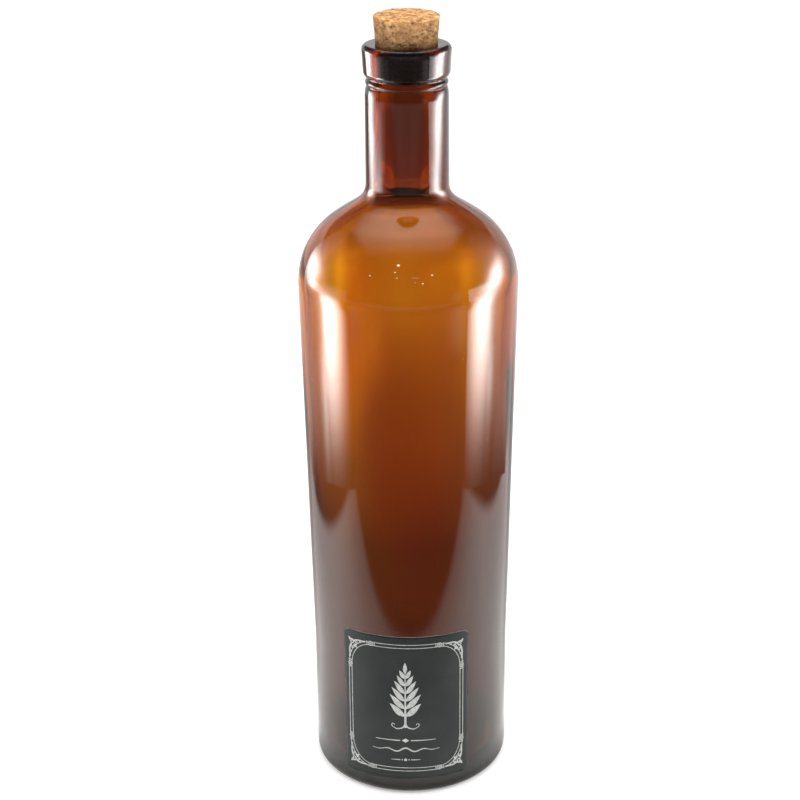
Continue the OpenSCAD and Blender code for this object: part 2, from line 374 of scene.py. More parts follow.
def glass_bottle():
    prof = outer + inner
    prof = [p for i, p in enumerate(prof) if i == 0 or (abs(p[0] - prof[i - 1][0]) + abs(p[1] - prof[i - 1][1])) > 1e-6]
    n_out = len(outer)
    # angles: even, with extra ones beside the mould seams
    th = list(np.linspace(0, 2 * math.pi, 200, endpoint=False))
    for s in SEAMS:
        th += [s + d for d in (-0.012, -0.006, -0.003, 0.003, 0.006, 0.012)]
    th = np.unique(np.round(np.mod(np.array(th), 2 * math.pi), 7))
    n = len(th)
    wav_o = sm_noise(9, 11, 2, 7)
    wav_i = sm_noise(12, 12, 2, 9)
    P = np.array(prof)
    tan = np.gradient(P, axis=0)
    tan /= np.maximum(np.linalg.norm(tan, axis=1, keepdims=True), 1e-9)
    nrm = np.stack([tan[:, 1], -tan[:, 0]], 1)           # outwards from the glass
    verts, faces = [], []
    ring_of = []
    for k, (r, z) in enumerate(prof):
        if r < 1e-6:
            ring_of.append(("pole", len(verts)))
            verts.append((0, 0, z * MM))
            continue
        ring_of.append(("ring", len(verts)))
        if k < n_out:
            # outside: very slight waviness on the body, none on foot and rim
            w = float(np.interp(z, [6, 30, 180, 230, 255], [0, 1, 1, 0.6, 0])) if r > 12 else 0.0
            d = 0.05 * w * wav_o(th, z)
            near = np.minimum.reduce([np.abs(np.angle(np.exp(1j * (th - s)))) for s in SEAMS])
            seam = np.exp(-((near * r / 0.16) ** 2)) * 0.07
            seam_w = float(np.interp(z, [0.2, 3, RING_Z - 1.0, RIM_Z - 1.2, RIM_Z - 0.4], [0, 1, 1, 0.8, 0]))
            d = d + seam * seam_w
        else:
            # inside: where the thickness of blown glass varies
            w = float(np.interp(z, [8, 30, 185, 215, 250], [0.3, 1, 1, 0.8, 0])) if z > 12 else 0.0
            d = 0.22 * w * wav_i(th, z)
        rr = r + d * nrm[k, 0]
        zz = z + d * nrm[k, 1]
        verts += list(np.stack([rr * np.cos(th), rr * np.sin(th), zz], 1) * MM)
    for k in range(len(prof) - 1):
        (ta, a), (tb, b_) = ring_of[k], ring_of[k + 1]
        for j in range(n):
            j2 = (j + 1) % n
            if ta == "pole":
                faces.append((a, b_ + j2, b_ + j))
            elif tb == "pole":
                faces.append((a + j, a + j2, b_))
            else:
                faces.append((a + j, a + j2, b_ + j2, b_ + j))
    ob = new_mesh("bottle_glass", verts, faces, True, [GLASS])
    # seeds: a few tiny bubbles caught in the wall, given a glowing emission as painted glints
    verts, faces = [], []
    seeds = [(-92.1, 206.7, 0.44), (-93.8, 204.7, 0.22), (-107.6, 203.2, 0.22), (-92.6, 203.0, 0.16), (-73.6, 203.6, 0.28),
             (-79.0, 201.2, 0.26), (-84.5, 203.1, 0.09), (-83.2, 203.1, 0.12), (-82.0, 203.0, 0.10), (-80.8, 203.05, 0.08), (-83.0, 201.6, 0.10), (-104, 175, 0.08),
             (150, 120, 0.22), (60, 150, 0.25), (200, 90, 0.2), (-40, 140, 0.12), (-150, 160, 0.14), (95, 205, 0.2), (20, 60, 0.2)]
    for a, z, s in seeds:
        a = math.radians(a)
        r0 = float(outer_r(np.array(min(z, SHOULDER_Z))))
        if z > SHOULDER_Z:
            r0 = SH_C[0] + math.sqrt(SH_R ** 2 - (z - SH_C[1]) ** 2)
        r0 -= 0.62 * s + 0.10
        base = len(verts)
        nu, nv = 18, 12
        c = np.array([r0 * math.cos(a), r0 * math.sin(a), z])
        er = np.array([math.cos(a), math.sin(a), 0]); et = np.array([-math.sin(a), math.cos(a), 0])
        verts.append((c + np.array([0, 0, s * 0.8])) * MM)
        for i in range(1, nv):
            ph = math.pi * i / nv
            for j in range(nu):
                q = 2 * math.pi * j / nu
                verts.append((c + er * s * 0.6 * math.sin(ph) * math.cos(q) + et * s * 1.3 * math.sin(ph) * math.sin(q)
                              + np.array([0, 0, s * 0.8 * math.cos(ph)])) * MM)
        verts.append((c - np.array([0, 0, s * 0.8])) * MM)
        last = len(verts) - 1
        for j in range(nu):
            j2 = (j + 1) % nu
            faces.append((base, base + 1 + j2, base + 1 + j))
            faces.append((last, last - nu + j, last - nu + j2))
            for i in range(nv - 2):
                r1, r2 = base + 1 + i * nu, base + 1 + (i + 1) * nu
                faces.append((r1 + j, r1 + j2, r2 + j2, r2 + j))
    return ob, new_mesh("bottle_seeds_painted_glints", verts, faces, True, [SEED_GLINT])


bottle, seed_glints_ob = glass_bottle()
for o in (bottle, seed_glints_ob):
    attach(o, "bottle")
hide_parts("glass_bottle")


# ----------------------------------------------------------------------------
# Cork
# ----------------------------------------------------------------------------
def value_noise3(seed):
    r = np.random.default_rng(seed)
    g = r.random((32, 32, 32))

    def f(p, scale):
        q = p * scale
        i = np.floor(q).astype(int)
        t = q - i
        t = t * t * (3 - 2 * t)
        i0, i1 = i % 32, (i + 1) % 32
        def at(a, b, c):
            return g[a, b, c]
        x0, y0, z0 = i0.T; x1, y1, z1 = i1.T
        tx, ty, tz = t.T
        c00 = at(x0, y0, z0) * (1 - tx) + at(x1, y0, z0) * tx
        c10 = at(x0, y1, z0) * (1 - tx) + at(x1, y1, z0) * tx
        c01 = at(x0, y0, z1) * (1 - tx) + at(x1, y0, z1) * tx
        c11 = at(x0, y1, z1) * (1 - tx) + at(x1, y1, z1) * tx
        return (c00 * (1 - ty) + c10 * ty) * (1 - tz) + (c01 * (1 - ty) + c11 * ty) * tz
    return f


def cork():
    z0, z1 = RIM_Z - CORK_IN, RIM_Z + CORK_OUT
    prof = [(0.0, z0)]
    prof += [(CORK_BOT_R * i / 14 - 0.03, z0) for i in range(1, 14)]
    prof += arc((CORK_BOT_R - 0.6, z0 + 0.6), 0.6, D(-90), 0, 4)
    side = [(CORK_BOT_R, z0 + 0.6), (BORE_R - 0.06, RIM_Z - 5), (BORE_R - 0.06, RIM_Z - 0.9), (BORE_R + 0.2, RIM_Z + 0.5),
            (CORK_TOP_R, z1 - 0.7)]
    for p, q in zip(side[:-1], side[1:]):
        m = max(1, int(round((q[1] - p[1]) / 0.17)))
        prof += line(p, q, m) + [q]
    prof += arc((CORK_TOP_R - 0.55, z1 - 0.55), 0.55, 0, D(90), 6)[1:]
    prof += [((CORK_TOP_R - 0.55) * (1 - i / 46), z1) for i in range(1, 47)]
    P = np.array(prof)
    n = 300
    th = np.linspace(0, 2 * math.pi, n, endpoint=False)
    # resample against poles at both ends
    R = np.repeat(P[1:-1, 0][:, None], n, 1)
    Z = np.repeat(P[1:-1, 1][:, None], n, 1)
    X, Y = R * np.cos(th), R * np.sin(th)
    pts = np.stack([X, Y, Z], -1).reshape(-1, 3)
    tan = np.gradient(P, axis=0)
    tan /= np.maximum(np.linalg.norm(tan, axis=1, keepdims=True), 1e-9)
    nr, nz_ = tan[1:-1, 1], -tan[1:-1, 0]
    NX = (nr[:, None] * np.cos(th)).reshape(-1)
    NY = (nr[:, None] * np.sin(th)).reshape(-1)
    NZ = np.repeat(nz_[:, None], n, 1).reshape(-1)
    nrm = np.stack([NX, NY, NZ], 1)
    vn = value_noise3(3)
    vn2 = value_noise3(5)
    # granular surface: soft lumps and fine grain
    h = (vn(pts + 50, 1.1) - 0.5) * 0.16 + (vn2(pts + 50, 2.6) - 0.5) * 0.10
    # lenticels and pores: short dark pits, most of them lying across
    pit_colour_and_shade = np.zeros(len(pts))
    r = np.random.default_rng(21)
    surf = []
    for i in range(150):
        a = r.uniform(0, 2 * math.pi)
        if i < 105:
            z = r.uniform(z0 + 1, z1 - 0.3)
            rad = float(np.interp(z, [z0, RIM_Z - 5, RIM_Z, z1], [CORK_BOT_R, BORE_R, BORE_R, CORK_TOP_R]))
        else:
            z, rad = z1, math.sqrt(r.uniform(0, 1)) * CORK_TOP_R * 0.95
        c = np.array([rad * math.cos(a), rad * math.sin(a), z])
        if i % 24 == 5:
            ln, wd, dp = r.uniform(0.9, 1.5), r.uniform(0.35, 0.55), r.uniform(0.35, 0.6)
        else:
            ln, wd, dp = r.uniform(0.25, 0.8), r.uniform(0.13, 0.3), r.uniform(0.12, 0.32)
        if i < 105:
            t1 = np.array([-math.sin(a), math.cos(a), 0]); t2 = np.array([0, 0, 1.0])
            if r.random() < 0.35:
                t1, t2 = t2, t1
        else:
            b2 = r.normal(0.35, 0.35)
            t1 = np.array([math.cos(b2), math.sin(b2), 0]); t2 = np.array([-math.sin(b2), math.cos(b2), 0])
            ln *= 1.5
        d = pts - c
        m = np.abs(d).max(1) < 2.6
        u, v = d[m] @ t1 / ln, d[m] @ t2 / wd
        w = d[m] @ np.cross(t1, t2)
        jag = 0.35 * (vn(pts[m] + 9, 3.2) - 0.5)
        q = np.exp(-((u * u + v * v) ** 1.6) * (1.0 + jag)) * (np.abs(w) < 1.2)
        pit_colour_and_shade[m] = np.maximum(pit_colour_and_shade[m], q * min(1.0, dp / 0.3))
        h[m] -= q * dp
    # chips along the top edge, darkened with painted shade through the pit attribute
    for i in range(26):
        a = r.uniform(0, 2 * math.pi)
        c = np.array([(CORK_TOP_R - 0.1) * math.cos(a), (CORK_TOP_R - 0.1) * math.sin(a), z1 - r.uniform(0, 0.35)])
        s = r.uniform(0.25, 0.75)
        d = np.linalg.norm((pts - c) / np.array([1, 1, 0.8]), axis=1) / s
        q = np.exp(-d ** 3)
        h -= q * r.uniform(0.12, 0.36)
        pit_colour_and_shade = np.maximum(pit_colour_and_shade, q * 0.35)
    # inside the bore the cork is squeezed smooth and stays clear of the glass
    zz = pts[:, 2]
    inside = np.clip((RIM_Z + 0.3 - zz) / 0.6, 0, 1)
    side_like = np.abs(nrm[:, 2]) < 0.7
    h = np.where(side_like, h * (1 - inside) + np.minimum(h * 0.35, 0.0) * inside, h)
    # the top face sags a little and is cut slightly out of true
    top = nrm[:, 2] > 0.7
    rad = np.hypot(pts[:, 0], pts[:, 1])
    h = np.where(top, h - 0.12 * (rad / CORK_TOP_R) ** 6, h)
    h = np.minimum(h, 0.06)
    pts2 = pts + nrm * h[:, None]
    # the cut is a little out of true, higher at the back
    tilt = np.clip((pts[:, 2] - (z1 - 3.0)) / 3.0, 0, 1)
    pts2[:, 2] = np.minimum(pts2[:, 2], z1) + tilt * (0.42 * pts[:, 1] / CORK_TOP_R)
    verts = list(pts2 * MM)
    rings = len(P) - 2
    faces = []
    for k in range(rings - 1):
        a, b_ = k * n, (k + 1) * n
        for j in range(n):
            j2 = (j + 1) % n
            faces.append((a + j, a + j2, b_ + j2, b_ + j))
    bot = len(verts); verts.append((0, 0, z0 * MM))
    topi = len(verts); verts.append((0, 0, (z1 - 0.05) * MM))
    for j in range(n):
        j2 = (j + 1) % n
        faces.append((bot, j2, j))
        faces.append((topi, (rings - 1) * n + j, (rings - 1) * n + j2))
    ob = new_mesh("cork_plug", verts, faces, True, [CORK])
    # partly the cork's own tone, partly painted light: the cut top is painted paler as if lit from above, the side is
    # browner, painted shade darkens it towards the lip and the top edge is painted lighter
    cork_tone_and_light = np.interp(zz, [RIM_Z - 1.2, RIM_Z - 0.3, RIM_Z + 0.3, RIM_Z + 1.2, RIM_Z + 3, RIM_Z + 6, z1 - 1.2, z1 - 0.2],
                     [1.2, 0.9, 0.33, 0.38, 0.52, 0.64, 0.76, 1.15])
    cork_tone_and_light = np.where(top, 1.27 + 0.05 * np.clip(rad / CORK_TOP_R, 0, 1), cork_tone_and_light)
    tn = ob.data.attributes.new("cork_tone_and_light", "FLOAT", "POINT")
    tn.data.foreach_set("value", np.concatenate([cork_tone_and_light, [1, 1.27]]).astype(np.float32))
    at = ob.data.attributes.new("pit_colour_and_shade", "FLOAT", "POINT")
    at.data.foreach_set("value", np.concatenate([np.clip(pit_colour_and_shade, 0, 1), [0, 0]]).astype(np.float32))
    return ob


plug = cork()
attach(plug, "stopper")
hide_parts("cork_stopper")


# ----------------------------------------------------------------------------
# Label and its printed ornament. (u, v) is across and up, in mm, from the
# label's centre; the print is a thin raised foil on the paper.
# ----------------------------------------------------------------------------
LZ = LABEL_Z + LABEL_H / 2


def wrap(u, v, t):
    """Point on the label at height t above the glass."""
    z = LZ + v
    r = outer_r(z) + t
    a = u / BASE_R
    return np.stack([r * np.sin(a), -r * np.cos(a), z], -1) * MM


def rounded_rect(w, h, c, n=8):
    pts = []
    for cx, cy, a0 in ((w - c, h - c, 0), (-w + c, h - c, 90), (-w + c, -h + c, 180), (w - c, -h + c, 270)):
        for i in range(n + 1):
            a = math.radians(a0 + 90 * i / n)
            pts.append((cx + c * math.cos(a), cy + c * math.sin(a)))
    return pts


def label():
    w, h = LABEL_W / 2, LABEL_H / 2
    nu, nv = 64, 72
    us, vs = np.linspace(-w, w, nu + 1), np.linspace(-h, h, nv + 1)

    def squash(u, v):
        """Pull the grid's corners in to a rounded corner."""
        cx, cy = w - LABEL_C, h - LABEL_C
        au, av = abs(u) - cx, abs(v) - cy
        if au > 0 and av > 0:
            m = max(au, av)
            k = m / math.hypot(au, av)
            return math.copysign(cx + au * k, u), math.copysign(cy + av * k, v)
        return u, v
    lift = 0.012
    top, bot = [], []
    for v in vs:
        for u in us:
            uu, vv = squash(u, v)
            top.append(wrap(uu, vv, LABEL_T)); bot.append(wrap(uu, vv, lift))
    n = (nu + 1) * (nv + 1)
    faces, idx = [], []
    for j in range(nv):
        for i in range(nu):
            a = j * (nu + 1) + i
            faces.append((a, a + 1, a + nu + 2, a + nu + 1)); idx.append(0)
            faces.append((n + a, n + a + nu + 1, n + a + nu + 2, n + a + 1)); idx.append(1)
    ring = [i for i in range(nu + 1)] + [j * (nu + 1) + nu for j in range(1, nv + 1)] \
        + [nv * (nu + 1) + i for i in range(nu - 1, -1, -1)] + [j * (nu + 1) for j in range(nv - 1, 0, -1)]
    for a, b_ in zip(ring, ring[1:] + ring[:1]):
        faces.append((b_, a, n + a, n + b_)); idx.append(1)
    ob = new_mesh("label_sheet", top + bot, faces, False, [PAPER, EDGE], idx)
    # smooth the two big faces only, so that the cut edge stays crisp
    sm = [k < nu * nv * 2 for k in range(len(faces))]
    ob.data.polygons.foreach_set("use_smooth", sm)
    return ob


sheet = label()
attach(sheet, "bottle")
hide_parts("front_label")

PV, PF = [], []                  # all of the print goes into one mesh
T0, T1 = LABEL_T - 0.02, LABEL_T + 0.035


def resample(pts, step=0.45):
    p = np.array(pts, float)
    s = np.r_[0, np.cumsum(np.hypot(*np.diff(p, axis=0).T))]
    n = max(2, int(math.ceil(s[-1] / step)) + 1)
    t = np.linspace(0, s[-1], n)
    return np.stack([np.interp(t, s, p[:, 0]), np.interp(t, s, p[:, 1])], 1)


def stroke(pts, w0, w1=None, closed=False, mid=None):
    """A raised line of half-width w0, swelling to mid and ending at w1."""
    p = resample(pts)
    n = len(p)
    w1 = w0 if w1 is None else w1
    t = np.linspace(0, 1, n)
    w = w0 + (w1 - w0) * t if mid is None else np.interp(t, [0, 0.5, 1], [w0, mid, w1])
    if closed:
        p = p[:-1]; n -= 1; w = w[:-1]
        tg = np.roll(p, -1, 0) - np.roll(p, 1, 0)
    else:
        tg = np.gradient(p, axis=0)
    tg /= np.maximum(np.linalg.norm(tg, axis=1, keepdims=True), 1e-9)
    nm = np.stack([-tg[:, 1], tg[:, 0]], 1)
    l, r = p + nm * w[:, None], p - nm * w[:, None]
    base = len(PV)
    for k in range(n):
        for q, t_ in ((l[k], T1), (r[k], T1), (r[k], T0), (l[k], T0)):
            PV.append(wrap(q[0], q[1], t_))
    for k in range(n if closed else n - 1):
        a, b_ = base + 4 * k, base + 4 * ((k + 1) % n)
        for i in range(4):
            PF.append((a + i, b_ + i, b_ + (i + 1) % 4, a + (i + 1) % 4))
    if not closed:
        PF.append((base, base + 1, base + 2, base + 3))
        e = base + 4 * (n - 1)
        PF.append((e + 3, e + 2, e + 1, e))


def blob(pts):
    """A filled raised shape, star-shaped about its mean."""
    p = np.array(pts, float)
    c = p.mean(0)
    base = len(PV)
    n = len(p)
    PV.append(wrap(c[0], c[1], T1)); PV.append(wrap(c[0], c[1], T0))
    for q in p:
        PV.append(wrap(q[0], q[1], T1)); PV.append(wrap(q[0], q[1], T0))
    for k in range(n):
        a, b_ = base + 2 + 2 * k, base + 2 + 2 * ((k + 1) % n)
        PF.append((base, a, b_)); PF.append((base + 1, b_ + 1, a + 1)); PF.append((a, a + 1, b_ + 1, b_))


def circle_pts(cx, cy, r, n=20, a0=0, a1=360, ry=None):
    ry = r if ry is None else ry
    return [(cx + r * math.cos(math.radians(a0 + (a1 - a0) * i / n)), cy + ry * math.sin(math.radians(a0 + (a1 - a0) * i / n)))
            for i in range(n + 1)]


def leaf(x, y, ang, ln, wd, bend=0.0):
    """A pointed leaf from its foot (x, y), along ang degrees."""
    a = math.radians(ang)
    out = []
    m = 12
    for s in (1, -1):
        rng_ = range(0, m + 1) if s == 1 else range(m - 1, 0, -1)
        for i in rng_:
            t = i / m
            half = wd / 2 * math.sin(math.pi * t ** 0.8) * s
            along = t * ln
            off = bend * math.sin(math.pi * t / 2) * ln * t
            px, py = along, half + off
            out.append((x + px * math.cos(a) - py * math.sin(a), y + px * math.sin(a) + py * math.cos(a)))
    blob(out)


def spiral(cx, cy, r0, a0, turns, sgn, shrink=0.18, n=34):
    """Scroll that winds in to its eye."""
    out = []
    for i in range(n + 1):
        t = i / n
        r = r0 * (1 - t) ** 0.8 + r0 * shrink * t
        a = math.radians(a0) + sgn * turns * 2 * math.pi * t
        out.append((cx + r * math.cos(a), cy + r * math.sin(a)))
    return out


# traditional double frame with rounded inner corners and knots
XO, XI, YO, YI = 22.1, 20.85, 26.4, 25.05
CX, CY = 9.4, 11.0                   # size of the corner arcs
LW = 0.12
for sx in (-1, 1):
    stroke([(sx * XO, -YO + CY), (sx * XO, YO - CY)], LW)
    stroke([(sx * XI, -YO + CY), (sx * XI, YO - CY)], LW)
    stroke([(-XO + CX, sx * YO), (XO - CX, sx * YO)], LW)
    stroke([(-XO + CX, sx * YI), (XO - CX, sx * YI)], LW)
for sx in (-1, 1):
    for sy in (-1, 1):
        def cpt(a, rx, ry):
            # quarter arc, concave side out, about the frame's inner corner point
            return (sx * (XO - CX + rx * math.cos(a)), sy * (YO - CY + ry * math.sin(a)))
        for rx, ry in ((CX - 0.15, CY - 0.15), (CX - 1.35, CY - 1.35)):
            stroke([cpt(math.pi / 2 * i / 26, rx, ry) for i in range(1, 26)], LW * 0.95)
        # knots where the arcs meet the straight lines
        for kx, ky, rr in ((sx * (XO - 0.62), sy * (YO - CY), 0), (sx * (XO - CX), sy * (YO - 0.68), 1)):
            q = [(kx + 0.95 * c, ky + 0.95 * s) for c, s in ((1, 0), (0, 1), (-1, 0), (0, -1), (1, 0))]
            stroke(q, 0.16)
            blob(circle_pts(kx, ky, 0.33, 10)[:-1])
            for o in (-1.45, 1.45):
                if rr:
                    stroke([(kx + o, ky - 0.85), (kx + o, ky + 0.85)], 0.13)
                else:
                    stroke([(kx - 0.85, ky + o), (kx + 0.85, ky + o)], 0.13)
        # scroll work that fills the spandrel between arcs and corner
        ox, oy = sx * XO, sy * YO

        def S(x, y):
            return (ox - sx * x, oy - sy * y)
        stroke([S(*q) for q in spiral(1.55, 1.75, 1.05, 200, 1.35, 1)], 0.30, 0.16)
        stroke([S(*q) for q in [(0.15, 0.15), (0.35, 0.7), (0.62, 1.35)]], 0.14)
        # stem and tendrils along the top of the arc
        stroke([S(*q) for q in [(2.5, 1.3), (3.6, 0.75), (4.9, 0.5), (6.2, 0.55), (7.3, 0.35)]], 0.36, 0.14)
        stroke([S(*q) for q in spiral(3.7, 1.62, 0.6, 250, 1.0, -1, n=20)], 0.22, 0.14)
        stroke([S(*q) for q in spiral(5.35, 1.12, 0.42, 250, 0.9, -1, n=16)], 0.2, 0.12)
        # and down its side
        stroke([S(*q) for q in [(1.25, 2.75), (0.68, 4.0), (0.45, 5.5), (0.5, 7.1), (0.3, 8.5)]], 0.36, 0.14)
        stroke([S(*q) for q in spiral(1.55, 4.2, 0.62, 200, 1.0, 1, n=20)], 0.22, 0.14)
        stroke([S(*q) for q in spiral(1.08, 6.1, 0.42, 200, 0.9, 1, n=16)], 0.2, 0.12)
        for (x, y, a, l_, w_) in ((2.75, 2.9, 42, 1.5, 0.8), (2.6, 2.55, 10, 1.3, 0.62), (2.35, 2.8, 78, 1.4, 0.62),
                                  (0.2, 0.2, 30, 1.0, 0.4), (0.2, 0.2, 62, 1.0, 0.4), (6.3, 0.5, 25, 1.0, 0.4), (0.5, 7.2, 65, 1.1, 0.4)):
            p = S(x, y)
            ang = math.degrees(math.atan2(-sy * math.sin(math.radians(a)), -sx * math.cos(math.radians(a))))
            leaf(p[0], p[1], ang, l_, w_)

# centre: an upright sprig with paired leaves, in place of a monogram
stroke([(0, -7.2), (0.0, 2.0), (0, 11.2), (0, 15.4)], 0.42, 0.14)
for i in range(6):
    y = -3.2 + i * 3.15
    ln = (7.6, 8.0, 7.4, 6.4, 5.2, 3.9)[i]
    for s in (-1, 1):
        a = (90 - s * (56 - i * 3.5))
        leaf(0.15 * s, y, a, ln, 2.35 - i * 0.17, bend=0.16 * s)
leaf(0, 14.6, 90, 4.6, 1.5)
for s in (-1, 1):
    stroke([(0, -7.0), (s * 1.4, -8.2), (s * 3.2, -8.5), (s * 4.6, -7.7)], 0.3, 0.12)
    stroke([(s * 4.6 + q[0] * s, -7.7 + q[1]) for q in [(0, 0), (0.55, 0.75), (0.2, 1.45), (-0.55, 1.3), (-0.6, 0.75)]], 0.16, 0.1)
blob(circle_pts(0, -7.3, 0.75, 16)[:-1])
# three plain rules where lines of text would stand
stroke([(-11.2, -13.4), (-2.0, -13.4)], 0.1, 0.22)
stroke([(11.2, -13.4), (2.0, -13.4)], 0.1, 0.22)
blob([(0, -12.5), (1.3, -13.4), (0, -14.3), (-1.3, -13.4)])
wave = [(x, -17.4 + 0.85 * math.cos(x * 0.9) * (1 - abs(x) / 14.5)) for x in np.linspace(-12.6, 12.6, 90)]
stroke(wave, 0.08, 0.08, mid=0.3)
for s in (-1, 1):
    stroke([(s * 5.4, -21.6), (s * 2.0, -21.6)], 0.08, 0.18)
blob(circle_pts(0, -21.6, 0.55, 14)[:-1])
for s in (-1, 1):
    blob(circle_pts(s * 1.25, -21.6, 0.26, 10)[:-1])

# build the print into one mesh
prn = new_mesh("label_print", PV, PF, False, [SILVER])
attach(prn, "bottle")


# ----------------------------------------------------------------------------
# Stage: pale floor, soft lamps, and studio cards that only the glass sees
# ----------------------------------------------------------------------------
def emission(name, build):
    m = bpy.data.materials.new(name)
    m.use_nodes = True
    nt = m.node_tree
    nt.nodes.clear()
    out = nt.nodes.new("ShaderNodeOutputMaterial")
    em = nt.nodes.new("ShaderNodeEmission")
    nt.links.new(em.outputs[0], out.inputs["Surface"])
    build(nt, em)
    return m


def plane(name, pts, mat):
    ob = new_mesh(name, pts, [tuple(range(len(pts)))], False, [mat])
    return ob


def card_for(ob, glossy=False, transmission=False):
    ob.visible_camera = False
    ob.visible_diffuse = False
    ob.visible_shadow = False
    ob.visible_volume_scatter = False
    ob.visible_glossy = glossy
    ob.visible_transmission = transmission


def floor_material():
    m, nt, b, out = node_mat("floor_mat")
    tc = N(nt, "ShaderNodeTexCoord")
    n = N(nt, "ShaderNodeTexNoise", Scale=14.0, Detail=4.0)
    nt.links.new(tc.outputs["Object"], n.inputs["Vector"])
    c = ramp(nt, [(0.3, (0.84, 0.84, 0.835)), (0.7, (0.88, 0.88, 0.88))])
    nt.links.new(n.outputs["Fac"], c.inputs["Fac"])
    nt.links.new(c.outputs[0], b.inputs["Base Color"])
    b.inputs["Roughness"].default_value = 0.9
    b.inputs["Specular IOR Level"].default_value = 0.1
    nt.links.new(c.outputs[0], b.inputs["Emission Color"])
    b.inputs["Emission Strength"].default_value = 0.3
    m.cycles.emission_sampling = "NONE"
    return m


floor = plane("floor", [(-5, -5, 0), (5, -5, 0), (5, 7, 0), (-5, 7, 0)], floor_material())
floor.visible_glossy = False
floor.visible_transmission = False


def S(t):
    """Smooth step from 0 to 1."""
    t = np.clip(t, 0.0, 1.0)
    return t * t * (3 - 2 * t)


AZ = math.radians(3.34)         # the studio is square to the camera, the label is turned a little


def turn(x, y):
    return x * math.cos(AZ) - y * math.sin(AZ), x * math.sin(AZ) + y * math.cos(AZ)


def glow_material(name):
    m = bpy.data.materials.new(name)
    m.use_nodes = True
    nt = m.node_tree
    nt.nodes.clear()
    out = nt.nodes.new("ShaderNodeOutputMaterial")
    em = nt.nodes.new("ShaderNodeEmission")
    at = N(nt, "ShaderNodeAttribute", attribute_name="glow", attribute_type="GEOMETRY")
    nt.links.new(at.outputs["Color"], em.inputs["Color"])
    nt.links.new(em.outputs[0], out.inputs["Surface"])
    m.cycles.emission_sampling = "NONE"
    return m


GLOW = glow_material("studio_glow_mat")


def glow_card(name, x, y, z, rgb, glossy=True, transmission=True):
    """A grid of points that only the glass and the label see, with a brightness at every point."""
    nu, nv = x.shape
    X, Y = turn(x, y)
    v = np.stack([X, Y, z], -1).reshape(-1, 3)
    i = np.arange(nu * nv).reshape(nu, nv)
    f = np.stack([i[:-1, :-1], i[1:, :-1], i[1:, 1:], i[:-1, 1:]], -1).reshape(-1, 4)
    ob = new_mesh(name, v, [tuple(int(k) for k in q) for q in f], False, [GLOW])
    at = ob.data.attributes.new("glow", "FLOAT_COLOR", "POINT")
    c = np.ones((nu * nv, 4), np.float32)
    c[:, :3] = rgb.reshape(-1, 3)
    at.data.foreach_set("color", c.ravel())
    card_for(ob, glossy, transmission)
    return ob


def bell(v, c, hw, p=2.0):
    """1 at c, a half at c +- hw."""
    return np.exp(-0.693 * np.abs((v - c) / hw) ** p)


def table_glow(x, y):
    """The table as the glass mirrors it: a white sheet round the bottle, a dark
    gap at each side where the walls begin, and the dark room in front."""
    r = np.hypot(x, y)
    b = np.interp(y, [-0.15, -0.12, -0.08, -0.02, 0.04, 0.12, 0.20, 0.30, 0.60, 1.2], [0.9, 1.35, 2.0, 2.3, 1.9, 1.35, 1.05, 0.92, 0.9, 0.9])
    # painted light and shade on the sheet: a little brighter to the right, darker close round the foot
    b = b * (1 + 0.14 * np.tanh(x / 0.15) * S((y - 0.05) / 0.2)) * (1 - 0.32 * np.exp(-((r - 0.036) / 0.055) ** 2))
    xl = -0.262 + 0.20 * np.clip(y + 0.10, 0, 0.25)
    xr = 0.264 - 0.08 * np.clip(y + 0.05, 0, 0.25)
    # painted shadow: a darker wedge on the sheet behind the bottle
    b = b * (1 - 0.48 * S((0.60 * y + 0.060 - np.abs(x)) / 0.045) * S((y - 0.015) / 0.05) * (1 - S((y - 0.30) / 0.25)))
    side = S((x - xl + 0.012) / 0.026) * S((xr - x + 0.012) / 0.026)
    side = np.maximum(side, S((y - 0.10) / 0.20) * (1 - 0.5 * S((-x - 0.33) / 0.08)))
    sheet = b * side * S((y + 0.150 + 0.012) / 0.026)
    room = 0.13 + 0.07 * S((np.abs(x) - 0.1) / 0.2) + 0.22 * S((-0.76 - y) / 0.22)
    v = np.maximum(sheet, room)
    # soft feet of the side lamps, which the neck mirrors
    az = np.degrees(np.arctan2(x, -y))
    v = v + (0.65 * bell(az, 52, 8) + 0.30 * bell(az, -56, 6)) * S((r - 0.44) / 0.06) * (1 - S((r - 0.84) / 0.08))
    # contact shadow round the foot
    v = v * (0.36 + 0.64 * S((r - 0.0365) / 0.012))
    return np.stack([v, v * 0.985, v * 0.96], -1)


